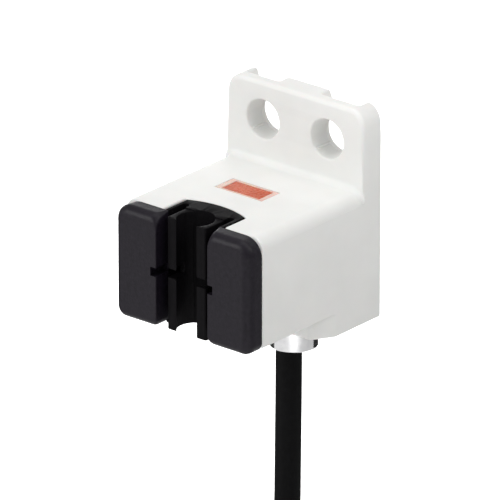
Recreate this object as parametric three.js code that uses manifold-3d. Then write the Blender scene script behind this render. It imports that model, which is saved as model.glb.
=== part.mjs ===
// Photoelectric sensor for a clear tube: a white plastic body with a mounting plate, two black
// arm covers, a black saddle with two sprung jaws that hold the tube in the beam, and a cable.
// Millimetres, +Z up. The mounting face is the plane y = 0 and the front looks along -Y. The
// origin is on the mounting face, halfway between the two screw holes.

import * as THREE from 'three';
import { mergeVertices } from 'three/addons/utils/BufferGeometryUtils.js';
import Module from 'manifold-3d';

const wasm = await Module();
wasm.setup();

// ---------------------------------------------------------------- driving dimensions

const HALF_WIDTH = 9.35;
const WALL = 1.2;

const PLATE = { thickness: 3, top: 4.25, corner: 2 };
const HOLE = { radius: 2.2, pitch: 8.76 };
const NOTCH = { depth: 1.6, floor: 2.9, left: [-7.6, -3.3], right: [2.5, 7.6], slope: 0.6 };

const BLOCK = { top: -4.9, bottom: -17.25, front: -19.43, fillet: 1.4, edge: 0.2 };
const FOOT = { bottom: -19.85, front: -9.9, corner: 2.4 };
const CAVITY = { halfWidth: 8.15, top: BLOCK.top - WALL, floor: BLOCK.bottom + WALL, front: -14.1 };
const FOOT_CAVITY = { floor: FOOT.bottom + WALL, front: FOOT.front + WALL };
const ARM_CAVITY = { inner: 5.1, outer: CAVITY.halfWidth };
const RAIL = { width: 0.75, top: -8.35, height: 0.6, front: -13.5, back: -1.5 };
const COVER = { halfWidth: 8.6, top: -5.65, bottom: -19.1, thickness: 1.2, corner: 0.6, gap: 0.08 };

const RECESS = { halfWidth: 4.18, back: -14.95, rise: 1 };
const TUBE = { y: -19.15, grooveRadius: 2.05 };
const SADDLE = { halfWidth: 3.92, top: -4.98, bottom: -17.8, front: -19.38, gap: 0.06 };
const SLOT = { inner: 2.65, outer: 3.5, back: -17.2 };
const JAW = { tip: -20.7, root: -18, seat: -17.7, top: -5.1, bottom: -17.8, tipCorner: 0.25 };
const JAW_PIVOT = { x: 2.1, y: -17.6 };

const BEAM = { y: -19.8, z: -11.4, slitHeight: 1 };
const BEAM_SLIT = { padOuter: 4.25, jawBack: -18.6 };
const PAD = { inner: 3.5, outer: 9.25, top: -5, bottom: -17.7, front: -21.53, wall: 0.75, innerWall: 0.9 };
const PAD_RADIUS = {
  outerTop: 1.9,
  innerTop: 0.5,
  bottom: 1,
  frontOuter: 1.1,
  frontInner: 0.12,
  frontTop: 1,
  frontBottom: 0.8,
};

const WINDOW = { left: -3.9, right: 2.5, front: -11.45, back: -8.45, rim: [0.7, 0.6, 0.3, 0.3] };
const WINDOW_GAP = 0.05;

const BOARD = { halfWidth: 7.9, top: -7.5, bottom: -8.3, back: -2, front: -13.8, earFront: -17.4 };
const EAR_INNER = 5.3;
const CHIP = { lift: 0.1, leadWidth: 0.3, leadReach: 0.6, leadHeight: 0.3 };
const END_CAP = { share: 0.2, step: 0.04 };
const CHIPS = [
  { name: 'sensor_chip', size: [5, 4.2, 1.3], leads: 7, at: [-3, -9.2] },
  { name: 'voltage_regulator', size: [4.4, 2.4, 1.4], leads: 3, at: [3.4, -10.4] },
  { name: 'output_transistor', size: [2.9, 1.4, 1], leads: 2, at: [-4.4, -4.6] },
];
const END_CAPPED = [
  { name: 'indicator_led', size: [3.2, 1.6, 0.75], at: [-0.65, -9.95], finish: 'lens' },
  { name: 'capacitor_1', size: [2, 1.25, 1.1], at: [5.2, -9], finish: 'ceramic' },
  { name: 'capacitor_2', size: [2, 1.25, 1.1], at: [5.2, -6.2], finish: 'ceramic' },
  { name: 'resistor_1', size: [1.6, 0.8, 0.45], at: [-5.6, -6], finish: 'chip' },
  { name: 'resistor_2', size: [1.6, 0.8, 0.45], at: [-5.6, -8], finish: 'chip' },
];

// The optical parts are drawn about the point where their body crosses the beam.
const OPTIC = { x: 7, halfWidth: 1.1, halfDepth: 0.95, halfHeight: 1.5 };
const OPTIC_LENS = { radius: 0.62, stretch: 1.2 };
const OPTIC_LEAD = { radius: 0.17, bend: 0.2, run: 0.35, level: -9.1, back: -16.6, front: -19.05 };
const OPTIC_LEAD_X = { emitter: [6.45, 7.55], receiver: [6.35, 7, 7.65] };

const RING = { x: 2.11, y: -5.6, outer: 2.63, inner: 2.25, bottom: -23.13, chamfer: 0.15, gap: 0.05 };
const GROMMET = { shaft: 2.2, flange: 3, bottom: -22.5, flangeHeight: 0.9, gap: 0.05 };

const CABLE = { x: 1.65, y: -5.875, radius: 1.425, sheathTop: -16.9 };
const COIL = { x: 1.5, z: -71.46, radius: 16.4, pitch: 2.95 };
const TIE = { angle: 125, clearance: 0.35, thickness: 0.9, width: 2.6, head: [3, 4, 3.2] };
const CONDUCTOR = { radius: 0.45, tipRadius: 0.3, tipLength: 4, gap: 0.3 };
const CONDUCTORS = [
  { name: 'brown', dx: -0.75, dy: 0.4, bareLength: 10 },
  { name: 'blue', dx: 0, dy: -0.8, bareLength: 11 },
  { name: 'black', dx: 0.75, dy: 0.4, bareLength: 9.4 },
];
// How the conductors spread from the cable's middle: [spread, height or share of the length].
const INNER_SPREAD = { start: 0.85, x: 2.3, y: 1.5, back: 0.7, low: 1.6, high: 4.6 };
const BARE_SPREAD = [[0.85, 0.03], [1, 0.2], [1.9, 0.6], [2.5, 1]];
const TIP_SPREAD = [[2.53, 0], [2.75, 0.5], [2.95, 1]];

// The cable hangs straight down from the ring, bends round into a tied coil of about nine turns
// and ends in a short straight stretch. It is 1 m long from the ring to the end of its sheath.
const LEAD_ROUTE = [
  [1.65, -5.875, -22.8],
  [1.65, -5.875, -25],
  [1.64, -5.875, -27.5],
  [1.62, -5.875, -30],
  [1.59, -5.875, -32.5],
  [1.56, -5.875, -35],
  [1.53, -5.875, -37.5],
  [1.51, -5.875, -40],
  [1.5, -5.875, -42.5],
  [1.78, -5.875, -45.1],
  [2.62, -5.875, -47.57],
  [3.73, -5.875, -49.47],
];
const TAIL_ROUTE = [
  [15.14, -14.85, -88.8],
  [15.18, -14.88, -91],
  [15.2, -14.9, -93],
  [15.2, -14.9, -95],
];

const ARC_STEP = THREE.MathUtils.degToRad(15);
const REACH = 5;

// ---------------------------------------------------------------- solids and outlines

/** A closed three.js geometry as a solid that can be joined and cut. */
function toSolid(geometry) {
  const bare = geometry.clone();
  bare.deleteAttribute('normal');
  bare.deleteAttribute('uv');
  const merged = mergeVertices(bare, 1e-4);
  return new wasm.Manifold(new wasm.Mesh({
    numProp: 3,
    vertProperties: merged.attributes.position.array,
    triVerts: new Uint32Array(merged.index.array),
  }));
}

/** The surface of a solid as a three.js geometry. */
function toGeometry(solid) {
  const surface = solid.getMesh();
  const geometry = new THREE.BufferGeometry();
  geometry.setAttribute('position', new THREE.BufferAttribute(surface.vertProperties, 3));
  geometry.setIndex(new THREE.BufferAttribute(surface.triVerts, 1));
  geometry.computeVertexNormals();
  return geometry;
}

/** Points on a circle from one angle to another, in radians, both ends included. */
function arc(x, y, radius, from, to) {
  const count = Math.max(2, Math.round(Math.abs(to - from) / ARC_STEP));
  const points = [];
  for (let i = 0; i <= count; i += 1) {
    const angle = from + (to - from) * i / count;
    points.push([x + radius * Math.cos(angle), y + radius * Math.sin(angle)]);
  }
  return points;
}

/** A closed outline of [x, y] or [x, y, radius] corners, where a radius rounds the corner. */
function outline(corners) {
  const points = [];
  corners.forEach(([x, y, radius = 0], i) => {
    if (radius === 0) {
      points.push([x, y]);
      return;
    }
    const here = new THREE.Vector2(x, y);
    const before = corners[(i + corners.length - 1) % corners.length];
    const after = corners[(i + 1) % corners.length];
    const u = new THREE.Vector2(before[0], before[1]).sub(here).normalize();
    const v = new THREE.Vector2(after[0], after[1]).sub(here).normalize();
    const half = Math.acos(u.dot(v)) / 2;
    const centre = u.clone().add(v).normalize().multiplyScalar(radius / Math.sin(half)).add(here);
    const start = u.multiplyScalar(radius / Math.tan(half)).add(here).sub(centre);
    const end = v.multiplyScalar(radius / Math.tan(half)).add(here).sub(centre);
    const turn = Math.atan2(start.cross(end), start.dot(end));
    points.push(...arc(centre.x, centre.y, radius, start.angle(), start.angle() + turn));
  });
  return new THREE.Shape(points.map(([x, y]) => new THREE.Vector2(x, y)));
}

/** A rectangle's outline, with one radius on all its corners. */
function rectangle(x0, y0, x1, y1, radius = 0) {
  return outline([[x0, y0, radius], [x1, y0, radius], [x1, y1, radius], [x0, y1, radius]]);
}

/** An outline drawn in X and Y, as a solid from one height to another. */
function upright(shape, low, high) {
  const geometry = new THREE.ExtrudeGeometry(shape, { depth: high - low, bevelEnabled: false });
  return toSolid(geometry.translate(0, 0, low));
}

/** An outline drawn in X and Z, as a solid from the front to the back. */
function deep(shape, front, back) {
  const geometry = new THREE.ExtrudeGeometry(shape, { depth: back - front, bevelEnabled: false });
  return toSolid(geometry.rotateX(Math.PI / 2).translate(0, back, 0));
}

/** An outline drawn in Y and Z, as a solid between two values of X, in either order. */
function across(shape, one, other) {
  const depth = Math.abs(other - one);
  const geometry = new THREE.ExtrudeGeometry(shape, { depth, bevelEnabled: false });
  const [x, y, z] = [0, 1, 2].map((axis) => new THREE.Vector3().setComponent(axis, 1));
  geometry.applyMatrix4(new THREE.Matrix4().makeBasis(y, z, x));
  return toSolid(geometry.translate(Math.min(one, other), 0, 0));
}

/** A box between two opposite corners. */
function box([x0, y0, z0], [x1, y1, z1]) {
  const geometry = new THREE.BoxGeometry(x1 - x0, y1 - y0, z1 - z0);
  return toSolid(geometry.translate((x0 + x1) / 2, (y0 + y1) / 2, (z0 + z1) / 2));
}

/** An upright cylinder. */
function rod(x, y, radius, low, high, sides = 32) {
  const geometry = new THREE.CylinderGeometry(radius, radius, high - low, sides);
  return toSolid(geometry.rotateX(Math.PI / 2).translate(x, y, (low + high) / 2));
}

/** A closed [radius, z] profile turned about the upright axis through x, y. */
function turned(profile, x, y, sides = 32) {
  const points = [...profile, profile[0]].map(([r, z]) => new THREE.Vector2(r, z));
  return new THREE.LatheGeometry(points, sides).rotateX(Math.PI / 2).translate(x, y, 0);
}

/** A round bar along a smooth curve through the points. */
function bar(points, radius, steps, sides = 8) {
  const section = new THREE.Shape(
    Array.from({ length: sides }, (_, i) => {
      const angle = 2 * Math.PI * i / sides;
      return new THREE.Vector2(radius * Math.cos(angle), radius * Math.sin(angle));
    }),
  );
  const path = new THREE.CatmullRomCurve3(points.map((p) => new THREE.Vector3(...p)));
  return new THREE.ExtrudeGeometry(section, { steps, bevelEnabled: false, extrudePath: path });
}

/** The same solid on both sides: the maker is called with -1 for the left and 1 for the right. */
function bothSides(maker) {
  return maker(-1).add(maker(1));
}

// ---------------------------------------------------------------- finishes and naming

const FINISH = {
  white: { color: 0xe8e8e2, roughness: 0.45, metalness: 0 },
  black: { color: 0x2c2a30, roughness: 0.62, metalness: 0 },
  saddle: { color: 0x1d1c20, roughness: 0.55, metalness: 0 },
  paleResin: { color: 0xf3c4b4, roughness: 0.2, metalness: 0 },
  orangeResin: { color: 0xd2573a, roughness: 0.25, metalness: 0 },
  chrome: { color: 0xd8d8d8, roughness: 0.1, metalness: 1 },
  rubber: { color: 0x18181a, roughness: 0.8, metalness: 0 },
  sheath: { color: 0x161618, roughness: 0.6, metalness: 0 },
  board: { color: 0x1f5a34, roughness: 0.5, metalness: 0 },
  chip: { color: 0x1b1b1c, roughness: 0.55, metalness: 0 },
  ceramic: { color: 0xb79a72, roughness: 0.5, metalness: 0 },
  lens: { color: 0x8d97b5, roughness: 0.1, metalness: 0 },
  tinned: { color: 0xc9c9c4, roughness: 0.3, metalness: 1 },
  brown: { color: 0x6b3a1e, roughness: 0.5, metalness: 0 },
  blue: { color: 0x1f4fa3, roughness: 0.5, metalness: 0 },
  wireBlack: { color: 0x1a1a1a, roughness: 0.5, metalness: 0 },
};

/** One named sub-part, from a solid or from a geometry, with a material of its own. */
function piece(name, shape, finish) {
  const geometry = shape.isBufferGeometry ? shape : toGeometry(shape);
  const mesh = new THREE.Mesh(geometry, new THREE.MeshStandardMaterial(FINISH[finish]));
  mesh.name = name;
  return mesh;
}

// ---------------------------------------------------------------- housing

/** Outline of the tube slot in plan: parallel sides and a back that bulges away from the tube. */
function slotOutline(halfWidth, inset, front) {
  const radius = (RECESS.halfWidth ** 2 + RECESS.rise ** 2) / (2 * RECESS.rise);
  const centre = RECESS.back - radius;
  const half = Math.asin(halfWidth / (radius - inset));
  const back = arc(0, centre, radius - inset, Math.PI / 2 - half, Math.PI / 2 + half);
  return [[-halfWidth, front], [halfWidth, front], ...back];
}

function plateSolid() {
  const shape = outline([
    [-HALF_WIDTH, FOOT.bottom],
    [HALF_WIDTH, FOOT.bottom],
    [HALF_WIDTH, PLATE.top, PLATE.corner],
    [-HALF_WIDTH, PLATE.top, PLATE.corner],
  ]);
  return deep(shape, -PLATE.thickness, 0);
}

function blockSolid() {
  const shape = outline([
    [-HALF_WIDTH, BLOCK.bottom],
    [HALF_WIDTH, BLOCK.bottom],
    [HALF_WIDTH, BLOCK.top, BLOCK.fillet],
    [-HALF_WIDTH, BLOCK.top, BLOCK.fillet],
  ]);
  const frontEdges = upright(outline([
    [-HALF_WIDTH, BLOCK.front, BLOCK.edge],
    [HALF_WIDTH, BLOCK.front, BLOCK.edge],
    [HALF_WIDTH, 0],
    [-HALF_WIDTH, 0],
  ]), BLOCK.bottom - REACH, BLOCK.top + REACH);
  return deep(shape, BLOCK.front, -PLATE.thickness / 2).intersect(frontEdges);
}

function footSolid() {
  const shape = outline([
    [-HALF_WIDTH, FOOT.front, FOOT.corner],
    [HALF_WIDTH, FOOT.front, FOOT.corner],
    [HALF_WIDTH, -PLATE.thickness / 2],
    [-HALF_WIDTH, -PLATE.thickness / 2],
  ]);
  return upright(shape, FOOT.bottom, BLOCK.bottom + WALL / 2);
}

/** The two notches in the plate's top edge, on its mounting side: sloped left, square right. */
function notchSolid() {
  const top = PLATE.top + 1;
  const [left, right] = [NOTCH.left, NOTCH.right].map(([from, to]) => deep(outline([
    [from, top],
    [from, PLATE.top],
    [from + NOTCH.slope, NOTCH.floor],
    [to, NOTCH.floor],
    [to, top],
  ]), -NOTCH.depth, 1));
  return left.add(right);
}

/** Everything that is hollow in the housing. */
function hollowSolid() {
  const half = CAVITY.halfWidth;
  const main = box([-half, CAVITY.front, CAVITY.floor], [half, 1, CAVITY.top]);
  const foot = box([-half, FOOT_CAVITY.front, FOOT_CAVITY.floor], [half, 1, CAVITY.floor + 1]);
  const coverSeat = box(
    [-COVER.halfWidth - COVER.gap, -COVER.thickness - COVER.gap, COVER.bottom - COVER.gap],
    [COVER.halfWidth + COVER.gap, 1, COVER.top + COVER.gap],
  );
  const arms = bothSides((side) => {
    const [low, high] = [side * ARM_CAVITY.inner, side * ARM_CAVITY.outer].sort((a, b) => a - b);
    return box([low, BLOCK.front - 1, CAVITY.floor], [high, CAVITY.front + 1, CAVITY.top]);
  });
  return main.add(foot).add(coverSeat).add(arms);
}

/** Two ledges inside the side walls, which carry the circuit board. */
function railSolid() {
  return bothSides((side) => {
    const inner = side * (CAVITY.halfWidth - RAIL.width);
    const outer = side * (CAVITY.halfWidth + WALL / 2);
    const [low, high] = [inner, outer].sort((a, b) => a - b);
    return box([low, RAIL.front, RAIL.top - RAIL.height], [high, RAIL.back, RAIL.top]);
  });
}

function screwHoleSolid() {
  return bothSides((side) => {
    const geometry = new THREE.CylinderGeometry(HOLE.radius, HOLE.radius, PLATE.thickness + 2, 32);
    return toSolid(geometry.translate(side * HOLE.pitch / 2, -PLATE.thickness / 2, 0));
  });
}

function housingSolid() {
  const slot = upright(
    outline(slotOutline(RECESS.halfWidth, 0, BLOCK.front - 1)),
    BLOCK.bottom - 1,
    BLOCK.top + 1,
  );
  const windowHole = box(
    [WINDOW.left - WINDOW_GAP, WINDOW.front - WINDOW_GAP, CAVITY.top - 1],
    [WINDOW.right + WINDOW_GAP, WINDOW.back + WINDOW_GAP, BLOCK.top + 1],
  );
  const cableHole = rod(
    RING.x,
    RING.y,
    RING.outer + RING.gap,
    FOOT.bottom - 1,
    FOOT_CAVITY.floor + 1,
  );
  return plateSolid()
    .add(blockSolid())
    .add(footSolid())
    .subtract(hollowSolid())
    .add(railSolid())
    .subtract(slot)
    .subtract(screwHoleSolid())
    .subtract(notchSolid())
    .subtract(windowHole)
    .subtract(cableHole);
}

function rearCoverSolid() {
  const { halfWidth, bottom, top, corner, thickness } = COVER;
  return deep(rectangle(-halfWidth, bottom, halfWidth, top, corner), -thickness, 0);
}

function makeHousing() {
  const group = new THREE.Group();
  group.add(piece('housing', housingSolid(), 'white'));
  group.add(piece('rear_cover', rearCoverSolid(), 'white'));
  return group;
}

// ---------------------------------------------------------------- arm covers, saddle and jaws

/** The slit for the beam, across everything between the arms, up to a given depth. */
function beamSolid(halfWidth, back) {
  return box(
    [-halfWidth, PAD.front - 1, BEAM.z - BEAM.slitHeight / 2],
    [halfWidth, back, BEAM.z + BEAM.slitHeight / 2],
  );
}

/** The outer shape of one arm's cover, rounded differently along each of its edges. */
function padBodySolid(side) {
  const { inner, outer, top, bottom, front } = PAD;
  const back = BLOCK.front;
  const face = outline([
    [side * inner, bottom, PAD_RADIUS.bottom],
    [side * outer, bottom, PAD_RADIUS.bottom],
    [side * outer, top, PAD_RADIUS.outerTop],
    [side * inner, top, PAD_RADIUS.innerTop],
  ]);
  const plan = outline([
    [side * inner, back],
    [side * inner, front, PAD_RADIUS.frontInner],
    [side * outer, front, PAD_RADIUS.frontOuter],
    [side * outer, back],
  ]);
  const profile = outline([
    [back, bottom],
    [back, top],
    [front, top, PAD_RADIUS.frontTop],
    [front, bottom, PAD_RADIUS.frontBottom],
  ]);
  return deep(face, front, back)
    .intersect(upright(plan, bottom, top))
    .intersect(across(profile, side * inner, side * outer));
}

/** The black cover of one arm: a hollow cap, its inner wall thinned for the beam by a slit. */
function padSolid(side) {
  const { inner, outer, top, bottom, front, wall, innerWall } = PAD;
  const [low, high] = [side * (inner + innerWall), side * (outer - wall)].sort((a, b) => a - b);
  const hollow = box(
    [low, front + wall, bottom + wall],
    [high, BLOCK.front + 1, top - wall],
  );
  return padBodySolid(side)
    .subtract(hollow)
    .subtract(beamSolid(BEAM_SLIT.padOuter, BLOCK.front + 1));
}

/** The tube groove's x at a given y. */
function grooveX(y) {
  return Math.sqrt(TUBE.grooveRadius ** 2 - (y - TUBE.y) ** 2);
}

/** The insert that lines the slot: two thin side walls, and a back with the tube's rest in it. */
function saddleSolid() {
  const { inner, outer, back } = SLOT;
  const shell = slotOutline(SADDLE.halfWidth, SADDLE.gap, SADDLE.front);
  const middle = (inner + outer) / 2;
  const round = (outer - inner) / 2;
  const seatX = grooveX(JAW.seat);
  const seatAngle = Math.atan2(JAW.seat - TUBE.y, seatX);
  const front = [
    [-outer, SADDLE.front],
    ...arc(-middle, back, round, Math.PI, 0),
    [-inner, JAW.seat],
    ...arc(0, TUBE.y, TUBE.grooveRadius, Math.PI - seatAngle, seatAngle),
    [inner, JAW.seat],
    ...arc(middle, back, round, Math.PI, 0),
    [outer, SADDLE.front],
  ];
  return upright(outline([shell[0], ...front, ...shell.slice(1)]), SADDLE.bottom, SADDLE.top);
}

/** One sprung jaw, drawn about its pivot: straight outside, hollowed to the tube inside. */
function jawSolid(side) {
  const tipAngle = Math.atan2(JAW.tip - TUBE.y, grooveX(JAW.tip));
  const rootAngle = Math.atan2(JAW.root - TUBE.y, grooveX(JAW.root));
  const inside = arc(0, TUBE.y, TUBE.grooveRadius, rootAngle, tipAngle);
  const shape = outline([
    ...inside,
    [SLOT.inner, JAW.tip, JAW.tipCorner],
    [SLOT.inner, JAW.root],
  ].map(([x, y, radius]) => [side * x, y, radius]));
  const jaw = upright(shape, JAW.bottom, JAW.top)
    .subtract(beamSolid(SLOT.outer, BEAM_SLIT.jawBack));
  return jaw.translate(-side * JAW_PIVOT.x, -JAW_PIVOT.y, 0);
}

function makeFront() {
  const group = new THREE.Group();
  group.add(piece('left_pad', padSolid(-1), 'black'));
  group.add(piece('right_pad', padSolid(1), 'black'));
  group.add(piece('tube_saddle', saddleSolid(), 'saddle'));
  [[-1, 'left_jaw'], [1, 'right_jaw']].forEach(([side, name]) => {
    const jaw = piece(name, jawSolid(side), 'saddle');
    jaw.position.set(side * JAW_PIVOT.x, JAW_PIVOT.y, 0);
    group.add(jaw);
  });
  return group;
}

// ---------------------------------------------------------------- indicator

function makeIndicator() {
  const { left, right, front, back } = WINDOW;
  const [rimLeft, rimRight, rimFront, rimBack] = WINDOW.rim;
  const rimInner = [left + rimLeft, right - rimRight, front + rimFront, back - rimBack];
  const [x0, x1, y0, y1] = rimInner;
  const rim = box([left, front, CAVITY.top], [right, back, BLOCK.top])
    .subtract(box([x0, y0, CAVITY.top - 1], [x1, y1, BLOCK.top + 1]));
  const lens = box(
    [x0 + WINDOW_GAP, y0 + WINDOW_GAP, CAVITY.top - 0.4],
    [x1 - WINDOW_GAP, y1 - WINDOW_GAP, BLOCK.top - 0.12],
  );
  const group = new THREE.Group();
  group.add(piece('indicator_frame', rim, 'paleResin'));
  group.add(piece('indicator_lens', lens, 'orangeResin'));
  return group;
}

// ---------------------------------------------------------------- electronics

function boardSolid() {
  const { halfWidth, top, bottom, back, front, earFront } = BOARD;
  return upright(outline([
    [-halfWidth, back],
    [-halfWidth, earFront],
    [-EAR_INNER, earFront],
    [-EAR_INNER, front],
    [EAR_INNER, front],
    [EAR_INNER, earFront],
    [halfWidth, earFront],
    [halfWidth, back],
  ]), bottom, top);
}

/** A moulded chip with flat leads along two sides, its underside at z = 0. */
function chipSolid(width, depth, height, leads) {
  let chip = box([-width / 2, -depth / 2, CHIP.lift], [width / 2, depth / 2, height]);
  const pitch = width / (leads + CHIP.leadWidth);
  const half = CHIP.leadWidth / 2;
  const reach = depth / 2 + CHIP.leadReach;
  for (let i = 0; i < leads; i += 1) {
    const x = (i - (leads - 1) / 2) * pitch;
    chip = chip.add(box([x - half, -reach, 0], [x + half, reach, CHIP.leadHeight]));
  }
  return chip;
}

/** A two-ended chip part with raised end caps, its underside at z = 0. */
function endCapSolid(length, width, height) {
  const cap = length * END_CAP.share;
  const { step } = END_CAP;
  const body = box(
    [-length / 2, -width / 2 + step, step],
    [length / 2, width / 2 - step, height - step],
  );
  return body
    .add(box([-length / 2, -width / 2, 0], [-length / 2 + cap, width / 2, height]))
    .add(box([length / 2 - cap, -width / 2, 0], [length / 2, width / 2, height]));
}

/** Places a part on the board's upper or lower face. */
function onBoard(mesh, [x, y], below = false) {
  mesh.position.set(x, y, below ? BOARD.bottom : BOARD.top);
  mesh.rotation.x = below ? Math.PI : 0;
  return mesh;
}

/** A side-looking optical part: a block with a round lens that faces the tube. */
function opticSolid() {
  const { halfWidth, halfDepth, halfHeight } = OPTIC;
  const body = box([-halfWidth, -halfDepth, -halfHeight], [halfWidth, halfDepth, halfHeight]);
  const lens = new THREE.SphereGeometry(OPTIC_LENS.radius, 16, 12)
    .scale(OPTIC_LENS.stretch, 1, 1)
    .translate(halfWidth, 0, 0);
  return body.add(toSolid(lens));
}

/** Bent leads that run from an optical part back and up to the board. */
function makeLeads(side, name) {
  const { radius, bend, run, level, back, front } = OPTIC_LEAD;
  const path = [
    [0, front, BEAM.z + OPTIC.halfHeight + CHIP.lift / 2],
    [0, front, level - bend],
    [0, front + run, level],
    [0, back - run, level],
    [0, back, level + bend],
    [0, back, BOARD.bottom - CHIP.lift / 2],
  ];
  return OPTIC_LEAD_X[name].map((x, i) => {
    const lead = piece(`${name}_lead_${i + 1}`, bar(path, radius, 20, 4), 'tinned');
    lead.position.x = side * x;
    return lead;
  });
}

function makeOptic(side, name, finish) {
  const optic = piece(name, opticSolid(), finish);
  optic.position.set(side * OPTIC.x, BEAM.y, BEAM.z);
  optic.rotation.z = side < 0 ? 0 : Math.PI;
  return optic;
}

function makeElectronics() {
  const group = new THREE.Group();
  group.add(piece('circuit_board', boardSolid(), 'board'));
  CHIPS.forEach(({ name, size, leads, at }) => {
    group.add(onBoard(piece(name, chipSolid(...size, leads), 'chip'), at, true));
  });
  END_CAPPED.forEach(({ name, size, at, finish }) => {
    group.add(onBoard(piece(name, endCapSolid(...size), finish), at));
  });
  group.add(makeOptic(-1, 'emitter_led', 'lens'));
  group.add(makeOptic(1, 'receiver_chip', 'chip'));
  group.add(...makeLeads(-1, 'emitter'));
  group.add(...makeLeads(1, 'receiver'));
  return group;
}

// ---------------------------------------------------------------- cable exit

function ringGeometry() {
  const { x, y, outer, inner, bottom, chamfer } = RING;
  return turned([
    [inner, bottom + chamfer],
    [inner + chamfer, bottom],
    [outer - chamfer, bottom],
    [outer, bottom + chamfer],
    [outer, FOOT_CAVITY.floor],
    [inner, FOOT_CAVITY.floor],
  ], x, y);
}

/** The rubber bush in the ring: a shaft and a flange that rests on the foot's floor. */
function grommetSolid() {
  const { shaft, flange, bottom, flangeHeight, gap } = GROMMET;
  const floor = FOOT_CAVITY.floor + gap;
  const body = rod(RING.x, RING.y, shaft, bottom, floor + flangeHeight)
    .add(rod(RING.x, RING.y, flange, floor, floor + flangeHeight));
  return body.subtract(rod(CABLE.x, CABLE.y, CABLE.radius + gap, bottom - 1, floor + REACH, 24));
}

/** The three conductors between the sheath's inner end and the board. */
function makeInnerWires() {
  const { start, x, y, back, low, high } = INNER_SPREAD;
  const { sheathTop } = CABLE;
  const end = BOARD.bottom - CHIP.lift;
  return CONDUCTORS.map(({ name, dx, dy }) => {
    const at = (spread, z) => [CABLE.x + dx * spread, CABLE.y + dy * spread, z];
    const aside = (z) => [CABLE.x + dx * x, CABLE.y + dy * y + back, z];
    const path = [
      at(start, sheathTop + CHIP.lift),
      at(1, sheathTop + low),
      aside(sheathTop + high),
      aside((sheathTop + high + end) / 2),
      aside(end),
    ];
    const finish = name === 'black' ? 'wireBlack' : name;
    return piece(`inner_wire_${name}`, bar(path, CONDUCTOR.radius, 14), finish);
  });
}

function makeCableExit() {
  const { x, y, radius, sheathTop } = CABLE;
  const group = new THREE.Group();
  group.add(piece('cable_ring', ringGeometry(), 'chrome'));
  group.add(piece('cable_grommet', grommetSolid(), 'rubber'));
  const entry = rod(x, y, radius, GROMMET.bottom, sheathTop, 24);
  group.add(piece('cable_entry_sheath', entry, 'sheath'));
  group.add(...makeInnerWires());
  return group;
}

// ---------------------------------------------------------------- cable, coil and bare end

/**
 * The outline of the coil's bundle, grown by a margin: x away from the coil's axis, y towards the
 * back. It holds three layers of three turns, and one more beside the front turn of the inner one.
 */
function bundleOutline(margin) {
  const step = COIL.pitch;
  const corners = [[-step, step], [-step, -2 * step], [step, -step], [step, step]];
  return corners.flatMap(([x, y], i) => {
    const before = corners[(i + corners.length - 1) % corners.length];
    const after = corners[(i + 1) % corners.length];
    const from = Math.atan2(before[0] - x, y - before[1]);
    let to = Math.atan2(x - after[0], after[1] - y);
    if (to < from) {
      to += 2 * Math.PI;
    }
    return arc(x, y, CABLE.radius + margin, from, to);
  });
}

/** The outer shape of the coil, which hangs in an upright plane. */
function coilGeometry() {
  const section = bundleOutline(0).map(([x, y]) => new THREE.Vector2(COIL.radius + x, y));
  return new THREE.LatheGeometry([...section, section[0]], 40);
}

/** A tie round the bundle: a strap and its locking head, drawn about the bundle's middle. */
function tieSolid() {
  const ring = (margin, half) => upright(outline(bundleOutline(margin)), -half, half);
  const reach = COIL.pitch + CABLE.radius + TIE.clearance;
  const [long, deepSize, tall] = TIE.head;
  const head = box([reach, -deepSize / 2, -tall / 2], [reach + long, deepSize / 2, tall / 2]);
  return ring(TIE.clearance + TIE.thickness, TIE.width / 2)
    .add(head)
    .subtract(ring(TIE.clearance, REACH));
}

/** The coil and its tie, about the coil's axis. */
function makeCoil() {
  const group = new THREE.Group();
  group.position.set(COIL.x, CABLE.y - COIL.pitch, COIL.z);
  group.add(piece('cable_coil', coilGeometry(), 'sheath'));
  const arm = new THREE.Group();
  arm.rotation.y = -THREE.MathUtils.degToRad(TIE.angle);
  const tie = piece('cable_tie', tieSolid(), 'rubber');
  tie.position.x = COIL.radius;
  arm.add(tie);
  group.add(arm);
  return group;
}

/** The three conductors that come out of the sheath's end, with bare tips. */
function makeBareEnd() {
  const { radius, tipRadius, tipLength, gap } = CONDUCTOR;
  const group = new THREE.Group();
  group.position.set(...TAIL_ROUTE.at(-1));
  CONDUCTORS.forEach(({ name, dx, dy, bareLength }) => {
    const at = (spread, z) => [dx * spread, dy * spread, z];
    const insulation = BARE_SPREAD.map(([spread, share]) => at(spread, -bareLength * share));
    const from = -bareLength - gap;
    const tip = TIP_SPREAD.map(([spread, share]) => at(spread, from - tipLength * share));
    const finish = name === 'black' ? 'wireBlack' : name;
    group.add(piece(`conductor_${name}`, bar(insulation, radius, 10), finish));
    group.add(piece(`conductor_tip_${name}`, bar(tip, tipRadius, 4), 'tinned'));
  });
  return group;
}

function makeCable() {
  const group = new THREE.Group();
  group.add(piece('cable_lead', bar(LEAD_ROUTE, CABLE.radius, 12), 'sheath'));
  group.add(makeCoil());
  group.add(piece('cable_tail', bar(TAIL_ROUTE, CABLE.radius, 3), 'sheath'));
  group.add(makeBareEnd());
  return group;
}

// ---------------------------------------------------------------- the sensor

const sensor = new THREE.Group();
sensor.add(makeHousing());
sensor.add(makeFront());
sensor.add(makeIndicator());
sensor.add(makeElectronics());
sensor.add(makeCableExit());
sensor.add(makeCable());

export default sensor;
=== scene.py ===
"""The looks of a photoelectric sensor for a clear tube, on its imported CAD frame.

Shapes are drawn in millimetres in the frame's axes (front towards -Y, +Z up) and stored in metres.
"""

import math

import bmesh
import bpy
from mathutils import Matrix, Vector


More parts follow.
